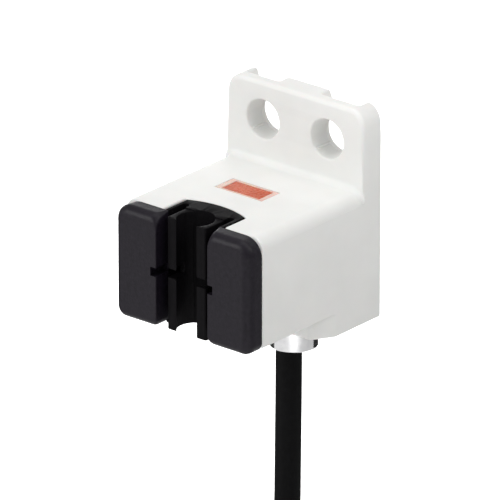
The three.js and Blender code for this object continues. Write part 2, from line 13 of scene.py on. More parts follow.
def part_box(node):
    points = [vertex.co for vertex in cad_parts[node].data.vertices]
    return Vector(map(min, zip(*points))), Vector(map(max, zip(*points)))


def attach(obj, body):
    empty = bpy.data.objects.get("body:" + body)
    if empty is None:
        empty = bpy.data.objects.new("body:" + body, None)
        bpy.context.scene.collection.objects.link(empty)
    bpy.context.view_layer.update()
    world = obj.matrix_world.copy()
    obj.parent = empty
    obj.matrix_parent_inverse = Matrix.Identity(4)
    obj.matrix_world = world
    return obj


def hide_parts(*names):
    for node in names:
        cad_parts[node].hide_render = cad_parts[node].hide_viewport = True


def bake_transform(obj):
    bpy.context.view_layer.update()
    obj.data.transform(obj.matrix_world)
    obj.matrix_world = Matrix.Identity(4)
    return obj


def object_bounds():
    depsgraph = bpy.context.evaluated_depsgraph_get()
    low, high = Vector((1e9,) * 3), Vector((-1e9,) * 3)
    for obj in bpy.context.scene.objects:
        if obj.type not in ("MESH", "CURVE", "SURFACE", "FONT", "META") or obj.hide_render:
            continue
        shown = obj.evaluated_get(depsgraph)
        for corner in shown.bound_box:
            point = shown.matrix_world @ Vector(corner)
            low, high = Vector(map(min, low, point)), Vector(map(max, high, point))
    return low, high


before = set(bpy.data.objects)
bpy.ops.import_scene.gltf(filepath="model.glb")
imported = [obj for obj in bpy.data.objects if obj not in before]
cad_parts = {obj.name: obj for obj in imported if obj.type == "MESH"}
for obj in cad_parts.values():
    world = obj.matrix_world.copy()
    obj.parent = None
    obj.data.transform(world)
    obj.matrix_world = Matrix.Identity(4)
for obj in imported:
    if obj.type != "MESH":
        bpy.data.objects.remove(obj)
cad_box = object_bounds()

MM = 0.001
SCENE = bpy.context.scene
ROOT = "sensor_body"


# ---------------------------------------------------------------- dimensions, in millimetres


def node_box(name):
    """A CAD node's lowest and highest corner, in millimetres."""
    low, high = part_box(name)
    return [v / MM for v in low], [v / MM for v in high]


HOUSING_LOW, HOUSING_HIGH = node_box("housing")
HALF_WIDTH = HOUSING_HIGH[0]
PLATE_TOP = HOUSING_HIGH[2]
FOOT_BOTTOM = HOUSING_LOW[2]
BLOCK_FRONT = HOUSING_LOW[1]
RIM_LOW, RIM_HIGH = node_box("indicator_frame")
BLOCK_TOP = RIM_HIGH[2]

PLATE = {"thickness": 3.0, "corner": 2.0, "edge": 0.55}
HOLE = {"radius": 2.2, "pitch": 8.76, "tight": 0.04}
RIDGE = {"angle": 223, "root": 4, "crest": 1.8, "height": 0.1, "front": -2.75, "back": -0.45}
NOTCH = {"depth": 1.6, "floor": 2.9, "slope": 0.6, "left": (-7.6, -3.3), "right": (2.4, 7.6)}
BLOCK = {"bottom": -17.25, "fillet": 1.4}
FOOT = {"front": -9.9, "corner": (1.5, 2.5), "rounding": 0.8}
COVE = {"size": 0.75, "taper": 0.8, "least": 0.12, "buried": 0.3}
WALL = 1.2
CAVITY = {"half": 8.15, "top": BLOCK_TOP - WALL, "floor": BLOCK["bottom"] + WALL, "front": -14.1}
FOOT_CAVITY = {"floor": FOOT_BOTTOM + WALL, "front": FOOT["front"] + WALL}
ARM = {"inner": 5.1, "outer": 8.15}
CUSP = {"reach": 0.4, "below": 1.6, "above": 0.7}

COVER_LOW, COVER_HIGH = node_box("rear_cover")
COVER_GAP = 0.08
COVER_CORNER = 0.6
COVER_LINE = {"inset": 1.3, "width": 0.25, "depth": 0.12, "corner": 0.8}

RECESS = {"half": 4.18, "back": -14.95, "rise": 1.0}
TUBE = {"y": -19.15, "radius": 2.05}
SADDLE_LOW, SADDLE_HIGH = node_box("tube_saddle")
SADDLE_GAP = 0.06
SLOT = {"inner": 2.65, "outer": 3.5, "back": -17.2}
JAW_LOW, JAW_HIGH = node_box("right_jaw")
JAW = {"seat": -17.7, "buried": -17.3, "tip_corner": 0.25, "slit_back": -18.6, "step": 0.5}
BEAM = {"z": -11.4, "height": 1.0}

PAD_LOW, PAD_HIGH = node_box("right_pad")
PAD_EDGE = {"inner": 0.12, "outer": 1.1, "top": 1.0, "bottom": 0.8}
PAD_CORNER = {"inner_bottom": 0.75, "outer_bottom": 1.15, "outer_top": (1.5, 2.1), "inner_top": (1.1, 0.12)}
PAD_FIRST_DEPTHS = [0, 0.012, 0.04, 0.08]
PAD_WALL = {"inner": 0.9, "rest": 0.8}
PAD_SLIT = {"depth": 0.75, "end": 0.1}

RIM_CORNER = 0.15
LENS_LOW, LENS_HIGH = node_box("indicator_lens")
LENS_SUNK = 0.03
WINDOW_GAP = 0.05
RING_LOW, RING_HIGH = node_box("cable_ring")
RING_CENTRE = [(RING_LOW[i] + RING_HIGH[i]) / 2 for i in (0, 1)]
RING = {"wall": 0.38, "lip": 0.14, "gap": 0.05}

# How far each piece's edges are rounded. The plate's front has an edge of its own.
EDGE = {"housing": 0.2, "rear_cover": 0.06, "saddle": 0.05, "jaw": 0.1, "rim": 0.05, "lens": 0.06}
# A sliver that a bevel has folded over is closed if its area is less than this, by collapsing its
# edges that are shorter than this length. Larger folds stay.
FOLD = {"area": 0.01, "length": 0.07}
# A point this close to a face counts as lying on it.
NEAR = 0.05

# The centreline of the cable, chosen where it isn't coiled.
CABLE_RADIUS = 1.425
COIL = {"x": 1.5, "z": -71.46, "radius": 16.4, "pitch": 2.95}
LEAD_ROUTE = [
    (1.65, -5.875, -22.8),
    (1.65, -5.875, -25),
    (1.64, -5.875, -27.5),
    (1.62, -5.875, -30),
    (1.59, -5.875, -32.5),
    (1.56, -5.875, -35),
    (1.53, -5.875, -37.5),
    (1.51, -5.875, -40),
    (1.5, -5.875, -42.5),
    (1.78, -5.875, -45.1),
    (2.62, -5.875, -47.57),
    (3.73, -5.875, -49.47),
]
TAIL_ROUTE = [
    (15.14, -14.85, -88.8),
    (15.18, -14.88, -91),
    (15.2, -14.9, -93),
    (15.2, -14.9, -95),
]
INTO_COIL = (5.79, -5.875, -51.69)
OUT_OF_COIL = [
    (14.95, -14.73, -75.5),
    (14.97, -14.75, -79.5),
    (15.02, -14.79, -83),
    (15.08, -14.82, -86),
]


# ---------------------------------------------------------------- camera

# The angles are in degrees, the aim and the distance in metres and the lens in millimetres.
CAMERA = {
    "azimuth": 39.915,
    "elevation": 22.492,
    "aim": (0.00015, -0.0105, -0.01135),
    "distance": 0.9988,
    "lens": 683,
}


def make_camera():
    """A long lens from the front right and above, aimed just below the middle of the block."""
    azimuth, elevation = math.radians(CAMERA["azimuth"]), math.radians(CAMERA["elevation"])
    back = Vector((
        math.sin(azimuth) * math.cos(elevation),
        -math.cos(azimuth) * math.cos(elevation),
        math.sin(elevation),
    ))
    camera = bpy.data.objects.new("camera", bpy.data.cameras.new("camera"))
    camera.data.lens = CAMERA["lens"]
    camera.data.sensor_width = 36
    camera.data.clip_start = 0.05
    camera.data.clip_end = 20
    camera.location = Vector(CAMERA["aim"]) + back * CAMERA["distance"]
    camera.rotation_euler = (-back).to_track_quat("-Z", "Y").to_euler()
    SCENE.collection.objects.link(camera)
    SCENE.camera = camera


make_camera()


# ---------------------------------------------------------------- cable


def eased(value):
    """0 before 0, 1 after 1, and a smooth S between them."""
    return (1 - math.cos(math.pi * min(1, max(0, value)))) / 2


def coil_points():
    """The coil's centreline: nine turns and a bit, in three layers, from the outside in.

    Angles run clockwise from the top, seen from the front. Each turn keeps to its own place in the
    bundle and moves over to the next place along a stretch of it, the last turn first.
    """
    start, end, step = 22.5, 90 + 9 * 360, 13.5
    places = [(0, 0), (0, 1), (0, 2), (1, 2), (1, 1), (1, 0), (2, 0), (2, 1), (2, 2), (2, 3)]
    turns = len(places) - 1
    shift_from, shift_span = 41, 60
    points = []
    for i in range(round((end - start) / step) + 1):
        angle = start + step * i
        turn, along = divmod(angle - start, 360)
        turn = int(turn)
        moved = 0
        if turn < turns:
            begin = shift_from + (turns - 1 - turn) * shift_span / 2
            moved = eased((along - begin) / shift_span)
        here, there = places[turn], places[min(turn + 1, turns)]
        layer = here[0] + (there[0] - here[0]) * moved
        column = here[1] + (there[1] - here[1]) * moved
        radius = COIL["radius"] + COIL["pitch"] * (1 - layer)
        phi = math.radians(angle)
        points.append((
            COIL["x"] + radius * math.sin(phi),
            LEAD_ROUTE[0][1] - COIL["pitch"] * column,
            COIL["z"] + radius * math.cos(phi),
        ))
    return points


def curve_object(name, points, radius):
    """A round bar as one open spline through points in millimetres."""
    data = bpy.data.curves.new(name, "CURVE")
    data.dimensions = "3D"
    data.resolution_u = 4
    data.bevel_depth = 1
    data.bevel_resolution = 9
    data.use_fill_caps = True
    spline = data.splines.new("BEZIER")
    spline.bezier_points.add(len(points) - 1)
    for knot, place in zip(spline.bezier_points, points):
        knot.co = Vector(place) * MM
        knot.radius = radius * MM
        knot.handle_left_type = "AUTO"
        knot.handle_right_type = "AUTO"
    made = bpy.data.objects.new(name, data)
    SCENE.collection.objects.link(made)
    return made


def make_cable():
    points = [*LEAD_ROUTE, INTO_COIL, *coil_points(), *OUT_OF_COIL, *TAIL_ROUTE]
    return curve_object("cable", points, CABLE_RADIUS)


cable = make_cable()
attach(cable, ROOT)
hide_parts("cable_lead", "cable_coil", "cable_tail")


# ---------------------------------------------------------------- mesh tools


def arc(x, y, radius, start, end, step=6):
    """Points on a circle between two angles in degrees, both ends included."""
    count = max(2, round(abs(end - start) / step))
    angles = [math.radians(start + (end - start) * i / count) for i in range(count + 1)]
    return [(x + radius * math.cos(a), y + radius * math.sin(a)) for a in angles]


def circle(x, y, radius):
    return arc(x, y, radius, 0, 357, 3)


def outline(corners, step=6):
    """A closed outline of (x, y) or (x, y, radius) corners, where a radius rounds the corner."""
    points = []
    for i, corner in enumerate(corners):
        here = Vector(corner[:2])
        if len(corner) == 2 or corner[2] == 0:
            points.append(tuple(here))
            continue
        radius = corner[2]
        u = (Vector(corners[i - 1][:2]) - here).normalized()
        v = (Vector(corners[(i + 1) % len(corners)][:2]) - here).normalized()
        half = math.acos(max(-1, min(1, u.dot(v)))) / 2
        centre = here + (u + v).normalized() * radius / math.sin(half)
        first = here + u * radius / math.tan(half) - centre
        last = here + v * radius / math.tan(half) - centre
        start = math.degrees(math.atan2(first.y, first.x))
        turn = (math.degrees(math.atan2(last.y, last.x)) - start + 180) % 360 - 180
        points += arc(centre.x, centre.y, radius, start, start + turn, step)
    return points


def rectangle(low, high, inset, radius):
    """A rectangle's outline between two corners, drawn in by an inset, with round corners."""
    x0, y0 = (v + inset for v in low)
    x1, y1 = (v - inset for v in high)
    return outline([(x0, y0, radius), (x1, y0, radius), (x1, y1, radius), (x0, y1, radius)])


def mesh_object(name, verts, faces):
    """A mesh object from points in millimetres, with its faces turned outwards."""
    mesh = bpy.data.meshes.new(name)
    mesh.from_pydata([Vector(v) * MM for v in verts], [], faces)
    bm = bmesh.new()
    bm.from_mesh(mesh)
    bmesh.ops.remove_doubles(bm, verts=bm.verts, dist=1e-7)
    bmesh.ops.recalc_face_normals(bm, faces=bm.faces)
    bm.to_mesh(mesh)
    bm.free()
    made = bpy.data.objects.new(name, mesh)
    SCENE.collection.objects.link(made)
    return made


def loft(name, rings, closed=False):
    """A solid through rings with equal numbers of points, capped at both ends unless closed."""
    count = len(rings[0])
    verts = [p for ring in rings for p in ring]
    faces = []
    spans = len(rings) if closed else len(rings) - 1
    for i in range(spans):
        low, high = i * count, (i + 1) % len(rings) * count
        for k in range(count):
            after = (k + 1) % count
            faces.append((low + k, low + after, high + after, high + k))
    if not closed:
        faces.append(tuple(range(count)))
        faces.append(tuple(range((len(rings) - 1) * count, len(rings) * count)))
    return mesh_object(name, verts, faces)


def upright(name, points, low, high):
    """An outline drawn in X and Y, from one height to another."""
    return loft(name, [[(x, y, z) for x, y in points] for z in (low, high)])


def deep(name, points, front, back):
    """An outline drawn in X and Z, from the front to the back."""
    return loft(name, [[(x, y, z) for x, z in points] for y in (front, back)])


def block(name, low, high):
    """A box between two corners."""
    x0, y0, z0 = low
    x1, y1, z1 = high
    return upright(name, [(x0, y0), (x1, y0), (x1, y1), (x0, y1)], z0, z1)


def turned(name, profile, x, y):
    """A closed (radius, z) profile turned about the upright axis through x, y."""
    sides = 96
    rings = []
    for i in range(sides):
        angle = 2 * math.pi * i / sides
        rings.append([(x + r * math.cos(angle), y + r * math.sin(angle), z) for r, z in profile])
    return loft(name, rings, closed=True)


def settle(piece):
    """Applies the piece's modifiers to its mesh."""
    graph = bpy.context.evaluated_depsgraph_get()
    mesh = bpy.data.meshes.new_from_object(piece.evaluated_get(graph), depsgraph=graph)
    piece.modifiers.clear()
    old = piece.data
    piece.data = mesh
    bpy.data.meshes.remove(old)
    return piece


def combine(piece, operation, *others):
    """Joins other solids to the piece, or cuts them out of it, and removes them."""
    for other in others:
        change = piece.modifiers.new("combine", "BOOLEAN")
        change.operation = operation
        change.solver = "EXACT"
        change.object = other
    settle(piece)
    for other in others:
        bpy.data.objects.remove(other)
    return piece


def join(piece, *others):
    return combine(piece, "UNION", *others)


def cut(piece, *others):
    return combine(piece, "DIFFERENCE", *others)


def tidy(piece):
    """Merges flat neighbours and doubled points."""
    bm = bmesh.new()
    bm.from_mesh(piece.data)
    bmesh.ops.remove_doubles(bm, verts=bm.verts, dist=2e-6)
    limit = math.radians(0.5)
    bmesh.ops.dissolve_limit(bm, angle_limit=limit, verts=bm.verts, edges=bm.edges)
    bm.to_mesh(piece.data)
    bm.free()
    return piece


def on_side(piece, side):
    """The piece as it is drawn, for the right, or its mirror image for the left."""
    if side < 0:
        piece.data.transform(Matrix.Scale(-1, 4, (1, 0, 0)))
        piece.data.flip_normals()
    return piece


def close_folds(bm):
    """Closes small slivers that a bevel has folded over, which face against their neighbours."""
    bm.normal_update()
    short = set()
    for face in bm.faces:
        beside = [other for edge in face.edges for other in edge.link_faces if other is not face]
        against = [other for other in beside if face.normal.dot(other.normal) < -0.5]
        if face.calc_area() < FOLD["area"] * MM * MM and len(against) > 1:
            short.update(edge for edge in face.edges if edge.calc_length() < FOLD["length"] * MM)
    bmesh.ops.collapse(bm, edges=list(short))


def soften(piece, width, segments=2, spared=None, wide=None):
    """Rounds the piece's sharp edges, except where spared(midpoint in millimetres) is true.

    Given a rule for the wide ones, the rest are rounded by the housing's usual width.
    """
    sharp = math.radians(28)
    mesh = piece.data
    bm = bmesh.new()
    bm.from_mesh(mesh)
    weights = []
    for edge in bm.edges:
        middle = (edge.verts[0].co + edge.verts[1].co) / 2 / MM
        if edge.calc_face_angle(0) < sharp or (spared and spared(middle)):
            weights.append(0.0)
        elif wide and not wide(middle):
            weights.append(EDGE["housing"] / width)
        else:
            weights.append(1.0)
    bm.free()
    layer = mesh.attributes.new("bevel_weight_edge", "FLOAT", "EDGE")
    layer.data.foreach_set("value", weights)
    bevel = piece.modifiers.new("edges", "BEVEL")
    bevel.limit_method = "WEIGHT"
    bevel.width = width * MM
    bevel.segments = segments
    bevel.use_clamp_overlap = False
    bevel.miter_outer = "MITER_ARC"
    settle(piece)
    bm = bmesh.new()
    bm.from_mesh(piece.data)
    close_folds(bm)
    bmesh.ops.connect_verts_concave(bm, faces=[f for f in bm.faces if len(f.verts) > 4])
    bm.to_mesh(piece.data)
    bm.free()
    return even_shading(piece)


def smooth(piece, angle=40):
    """Smooth shading, with edges sharper than the angle left crisp."""
    piece.data.shade_smooth()
    piece.data.set_sharp_from_angle(angle=math.radians(angle))
    return piece


def even_shading(piece, angle=38):
    """Smooth shading that leaves flat faces flat beside their rounded edges."""
    weighted = smooth(piece, angle).modifiers.new("normals", "WEIGHTED_NORMAL")
    weighted.keep_sharp = True
    weighted.weight = 80
    return settle(piece)


# ---------------------------------------------------------------- housing


def slot_outline(half, inset, front):
    """The tube slot in plan: parallel sides and a back that bulges away from the tube."""
    radius = (RECESS["half"] ** 2 + RECESS["rise"] ** 2) / (2 * RECESS["rise"])
    centre = RECESS["back"] - radius
    spread = math.degrees(math.asin(half / (radius - inset)))
    back = arc(0, centre, radius - inset, 90 - spread, 90 + spread, 3)
    return [(-half, front), (half, front)] + back


def plate_solid():
    shape = outline([
        (-HALF_WIDTH, FOOT_BOTTOM),
        (HALF_WIDTH, FOOT_BOTTOM),
        (HALF_WIDTH, PLATE_TOP, PLATE["corner"]),
        (-HALF_WIDTH, PLATE_TOP, PLATE["corner"]),
    ])
    return deep("housing_shell", shape, -PLATE["thickness"], 0)


def block_solid():
    bottom, fillet = BLOCK["bottom"], BLOCK["fillet"]
    shape = outline([
        (-HALF_WIDTH, bottom),
        (HALF_WIDTH, bottom),
        (HALF_WIDTH, BLOCK_TOP, fillet),
        (-HALF_WIDTH, BLOCK_TOP, fillet),
    ], step=5)
    return deep("block", shape, BLOCK_FRONT, -PLATE["thickness"] / 2)


def foot_solid():
    front, (across, back) = FOOT["front"], FOOT["corner"]
    shape = outline([
        (-HALF_WIDTH, front + back),
        (across - HALF_WIDTH, front, FOOT["rounding"]),
        (HALF_WIDTH - across, front, FOOT["rounding"]),
        (HALF_WIDTH, front + back),
        (HALF_WIDTH, -PLATE["thickness"] / 2),
        (-HALF_WIDTH, -PLATE["thickness"] / 2),
    ])
    return upright("foot", shape, FOOT_BOTTOM, BLOCK["bottom"] + WALL / 2)


def notch_solids():
    """The two notches in the plate's top edge, on its mounting side: each slopes at its left end."""
    floor, above = NOTCH["floor"], PLATE_TOP + 1
    made = []
    for side in ("left", "right"):
        low, high = NOTCH[side]
        slope = [(low - 0.1, above), (low, PLATE_TOP), (low + NOTCH["slope"], floor)]
        shape = [*slope, (high, floor), (high, above)]
        made.append(deep(f"{side}_notch", shape, -NOTCH["depth"], 1))
    return made


def hole_solids():
    """The screw holes: a fine ridge along the mould's parting line, a tighter rim at the back."""
    angle, root, crest = RIDGE["angle"], RIDGE["root"], RIDGE["crest"]
    front, back = RIDGE["front"], RIDGE["back"]
    made = []
    for side in (-1, 1):
        x, radius = side * HOLE["pitch"] / 2, HOLE["radius"]
        wall = arc(x, 0, radius, angle + root, angle - root + 360, 3)
        ridge = arc(x, 0, radius - RIDGE["height"], angle - crest, angle + crest)
        made.append(deep("hole_front", circle(x, 0, radius), -PLATE["thickness"] - 1, front + 0.03))
        made.append(deep("hole", wall + ridge, front, back))
        made.append(deep("hole_end", circle(x, 0, radius - HOLE["tight"]), back - 0.05, 1))
    return made


def in_hole(p):
    """True inside the screw holes, behind their front rims."""
    reach = HOLE["radius"] + NEAR
    off_axis = math.hypot(abs(p.x) - HOLE["pitch"] / 2, p.z)
    return off_axis < reach and p.y > 0.1 - PLATE["thickness"]


def beam_solid(name, half_width, back):
    """The way of the beam across the slot, up to a given depth."""
    half = BEAM["height"] / 2
    low = (-half_width, PAD_LOW[1] - 1, BEAM["z"] - half)
    return block(name, low, (half_width, back, BEAM["z"] + half))


def hollow_solids():
    """Everything that is hollow in the housing, behind its cover and the arm covers."""
    half, top, floor, front = (CAVITY[k] for k in ("half", "top", "floor", "front"))
    made = [
        block("cavity", (-half, front, floor), (half, 1, top)),
        block("foot_cavity", (-half, FOOT_CAVITY["front"], FOOT_CAVITY["floor"]), (half, 1, floor + 1)),
        block(
            "cover_seat",
            (COVER_LOW[0] - COVER_GAP, COVER_LOW[1] - COVER_GAP, COVER_LOW[2] - COVER_GAP),
            (COVER_HIGH[0] + COVER_GAP, 1, COVER_HIGH[2] + COVER_GAP),
        ),
    ]
    for side in (-1, 1):
        low, high = sorted((side * ARM["inner"], side * ARM["outer"]))
        made.append(block("arm", (low, BLOCK_FRONT - 1, floor), (high, front + 1, top)))
    return made


def in_hollow(p):
    """True on the housing's inner edges, which stay as moulded."""
    gap, clear = 0.03, 0.15
    if abs(p.x) < RECESS["half"] + gap and p.y < RECESS["back"] + 0.1:
        return False
    zones = [
        (CAVITY["half"], BLOCK_FRONT, 0, CAVITY["floor"], CAVITY["top"]),
        (CAVITY["half"], FOOT_CAVITY["front"], 0, FOOT_CAVITY["floor"], CAVITY["floor"] + 1),
        (COVER_HIGH[0] + COVER_GAP, COVER_LOW[1] - clear, 0, COVER_LOW[2] - clear, COVER_HIGH[2] + clear),
        (clear - RIM_LOW[0], RIM_LOW[1] - clear, RIM_HIGH[1] + clear, CAVITY["top"] - 1, BLOCK_TOP),
        (clear + RING_HIGH[0], RING_LOW[1] - clear, RING_HIGH[1] + clear, FOOT_BOTTOM, FOOT_CAVITY["floor"]),
    ]
    return any(
        abs(p.x) < half + gap and y0 - gap < p.y < y1 + gap and z0 - gap < p.z < z1 + gap
        for half, y0, y1, z0, z1 in zones
    )


def near_cusp(p):
    """True where the plate's front edge runs out into the block's rounded top edge."""
    beside = abs(p.x) > HALF_WIDTH - BLOCK["fillet"]
    at_plate = abs(p.y + PLATE["thickness"]) < CUSP["reach"]
    return beside and at_plate and BLOCK_TOP - CUSP["below"] < p.z < BLOCK_TOP + CUSP["above"]


def spared_edges(p):
    """True on the edges that stay sharp: the hollow parts, and the corner that the cove fills."""
    in_corner = abs(p.y + PLATE["thickness"]) < NEAR and p.z < BLOCK_TOP + CUSP["reach"]
    return in_hole(p) or in_hollow(p) or near_cusp(p) or in_corner


def on_plate_front(p):
    """True on the outline of the plate's front face."""
    at_rim = abs(p.x) > HALF_WIDTH - PLATE["corner"] or p.z > PLATE_TOP - NEAR
    off_hole = math.hypot(abs(p.x) - HOLE["pitch"] / 2, p.z) > HOLE["radius"] + 0.3
    return abs(p.y + PLATE["thickness"]) < NEAR and at_rim and off_hole


def make_housing():
    shell = join(plate_solid(), block_solid(), foot_solid())
    slot_shape = slot_outline(RECESS["half"], 0, BLOCK_FRONT - 1)
    cut(shell, upright("slot", slot_shape, BLOCK["bottom"] - 1, BLOCK_TOP + 1))
    cut(shell, *notch_solids())
    for tool in hole_solids():
        cut(shell, tool)
    for tool in hollow_solids():
        cut(shell, tool)
    rim = block(
        "window",
        (RIM_LOW[0] - WINDOW_GAP, RIM_LOW[1] - WINDOW_GAP, CAVITY["top"] - 1),
        (RIM_HIGH[0] + WINDOW_GAP, RIM_HIGH[1] + WINDOW_GAP, BLOCK_TOP + 1),
    )
    bore = circle(*RING_CENTRE, RING_HIGH[0] - RING_CENTRE[0] + RING["gap"])
    cut(shell, rim, upright("bore", bore, FOOT_BOTTOM - 1, FOOT_CAVITY["floor"] + 1))
    tidy(shell)
    soften(shell, PLATE["edge"], 4, spared_edges, wide=on_plate_front)
    return shell


def make_cove():
    """The concave fillet where the block's top and its rounded edges meet the plate."""
    fillet, y = BLOCK["fillet"], -PLATE["thickness"]
    inner, buried = HALF_WIDTH - fillet, COVE["buried"]
    path = []
    for angle in range(0, 81, 8):
        a = math.radians(angle)
        path.append((inner + fillet * math.sin(a), BLOCK_TOP - fillet + fillet * math.cos(a), a))
    chain = [(-x, z, -a) for x, z, a in reversed(path)] + path
    rings = []
    for x, z, a in chain:
        size = COVE["size"] * max(COVE["least"], math.cos(a)) ** COVE["taper"]
        out = Vector((math.sin(a), 0, math.cos(a)))
        base = Vector((x, y, z))
        forward = Vector((0, -1, 0))
        ring = [base - (out + forward) * buried, base + out * size - forward * buried]
        for step in range(0, 91, 10):
            s = math.radians(step)
            up, along = size * (1 - math.sin(s)), size * (1 - math.cos(s))
            ring.append(base + out * up + forward * along)
        ring.append(base - out * buried + forward * size)
        rings.append([tuple(p) for p in ring])
    return smooth(loft("housing_cove", rings))


def make_rear_cover():
    """The closing panel, with rounded edges and a shallow frame line pressed into it."""
    low, high = (COVER_LOW[0], COVER_LOW[2]), (COVER_HIGH[0], COVER_HIGH[2])
    front, back = COVER_LOW[1], COVER_HIGH[1]
    inset, width, depth, corner = (COVER_LINE[k] for k in ("inset", "width", "depth", "corner"))
    panel = deep("rear_panel", rectangle(low, high, 0, COVER_CORNER), front, back)
    groove = deep("groove", rectangle(low, high, inset, corner), -depth, 1)
    cut(groove, deep("kept", rectangle(low, high, inset + width, COVER_CORNER), -1, 2))
    cut(panel, groove)
    tidy(panel)
    return soften(panel, EDGE["rear_cover"])


# ---------------------------------------------------------------- arm covers, saddle and jaws


def edge_inset(radius, depth):
    """How far a rounded front edge has drawn in at a depth behind the front."""
    short = max(0, 1 - depth / radius)
    return radius * (1 - math.sqrt(1 - short * short))


def pad_ring(y):
    """The arm cover's section at y, for the right-hand cover."""
    front, depth = PAD_LOW[1], y - PAD_LOW[1]
    inset = {edge: edge_inset(radius, depth) for edge, radius in PAD_EDGE.items()}
    share = depth / (BLOCK_FRONT - front)
    inner_top, outer_top = (
        PAD_CORNER[edge][0] + (PAD_CORNER[edge][1] - PAD_CORNER[edge][0]) * share
        for edge in ("inner_top", "outer_top")
    )
    x0, x1 = PAD_LOW[0] + inset["inner"], PAD_HIGH[0] - inset["outer"]
    z0, z1 = PAD_LOW[2] + inset["bottom"], PAD_HIGH[2] - inset["top"]
    shape = outline([
        (x0, z0, PAD_CORNER["inner_bottom"] - inset["bottom"] / 2),
        (x1, z0, PAD_CORNER["outer_bottom"] - inset["outer"] / 2),
        (x1, z1, outer_top - inset["outer"] / 2),
        (x0, z1, inner_top),
    ], step=7.5)
    return [(x, y, z) for x, z in shape]


def make_pad(side):
    """An arm cover: a hollow cap with differently rounded edges, thinned for the beam by a slit."""
    front, largest = PAD_LOW[1], max(PAD_EDGE.values())
    rounding = [largest * (1 - math.cos(math.radians(a))) for a in range(30, 91, 6)]
    depths = [*PAD_FIRST_DEPTHS, *rounding, BLOCK_FRONT - front]
    cap = loft("right_cover" if side > 0 else "left_cover", [pad_ring(front + d) for d in depths])
    hollow = block(
        "hollow",
        (PAD_LOW[0] + PAD_WALL["inner"], front + PAD_WALL["rest"], PAD_LOW[2] + PAD_WALL["rest"]),
        (PAD_HIGH[0] - PAD_WALL["rest"], BLOCK_FRONT + 1, PAD_HIGH[2] - PAD_WALL["rest"]),
    )
    cut(cap, hollow, beam_solid("slit", PAD_LOW[0] + PAD_SLIT["depth"], BLOCK_FRONT - PAD_SLIT["end"]))
    return even_shading(on_side(cap, side), 34)


def groove_x(y):
    """The tube groove's half width at a depth."""
    return math.sqrt(TUBE["radius"] ** 2 - (y - TUBE["y"]) ** 2)


def make_saddle():
    """The slot's lining: two thin side walls, and a back with the tube's rest in it."""
    inner, outer, back = SLOT["inner"], SLOT["outer"], SLOT["back"]
    front = SADDLE_LOW[1]
    shell = slot_outline(SADDLE_HIGH[0], SADDLE_GAP, front)
    middle, rounding = (inner + outer) / 2, (outer - inner) / 2
    seat = math.degrees(math.atan2(JAW["seat"] - TUBE["y"], groove_x(JAW["seat"])))
    face = [
        (-outer, front),
        *arc(-middle, back, rounding, 180, 0, 10),
        (-inner, JAW["seat"]),
        *arc(0, TUBE["y"], TUBE["radius"], 180 - seat, seat, 4),
        (inner, JAW["seat"]),
        *arc(middle, back, rounding, 180, 0, 10),
        (outer, front),
    ]
    points = [shell[0], *face, *shell[1:]]
    saddle = upright("saddle", points, SADDLE_LOW[2], SADDLE_HIGH[2])
    return soften(tidy(saddle), EDGE["saddle"])


def make_jaw(side):
    """One sprung finger with rounded ends, its root buried in the saddle."""
    tip_y = JAW_LOW[1]
    tip = math.degrees(math.atan2(tip_y - TUBE["y"], groove_x(tip_y)))
    root = math.degrees(math.atan2(JAW["seat"] - TUBE["y"], groove_x(JAW["seat"])))
    inside = arc(0, TUBE["y"], TUBE["radius"], root, tip, 4)
    back = (SLOT["inner"], JAW["buried"])
    corner = outline([inside[-1], (SLOT["inner"], tip_y, JAW["tip_corner"]), back])[1:-1]
    outside = [(SLOT["inner"], tip_y + JAW["step"] * i) for i in range(1, 7)]
    points = [*inside, *corner, *outside, back, (inside[0][0], JAW["buried"])]
    jaw = upright("right_finger" if side > 0 else "left_finger", points, JAW_LOW[2], JAW_HIGH[2])
    cut(jaw, beam_solid("slit", SLOT["outer"], JAW["slit_back"]))
    return on_side(soften(jaw, EDGE["jaw"]), side)


# ---------------------------------------------------------------- indicator and ring


def make_indicator_rim():
    low, high = RIM_LOW[2], RIM_HIGH[2]
    rim = upright("window_rim", rectangle(RIM_LOW[:2], RIM_HIGH[:2], 0, RIM_CORNER), low, high)
    hole = block(
        "hole",
        (LENS_LOW[0] - WINDOW_GAP, LENS_LOW[1] - WINDOW_GAP, low - 1),
        (LENS_HIGH[0] + WINDOW_GAP, LENS_HIGH[1] + WINDOW_GAP, high + 1),
    )
    cut(rim, hole)
    return soften(tidy(rim), EDGE["rim"])


def make_indicator_lens():
    lens = block("window_lens", LENS_LOW, (LENS_HIGH[0], LENS_HIGH[1], RIM_HIGH[2] - LENS_SUNK))
    return soften(lens, EDGE["lens"], 3)


def make_ring():
    """The polished collar, with a rolled lower lip."""
    outer = RING_HIGH[0] - RING_CENTRE[0]
    low, high = RING_LOW[2], RING_HIGH[2]
    inner, lip = outer - RING["wall"], RING["lip"]
    profile = [
        *arc(inner + lip, low + lip, lip, 180, 270, 15),
        *arc(outer - lip, low + lip, lip, 270, 360, 15),
        (outer, high),
        (inner, high),
    ]
    return smooth(turned("collar", profile, *RING_CENTRE))


# ---------------------------------------------------------------- materials


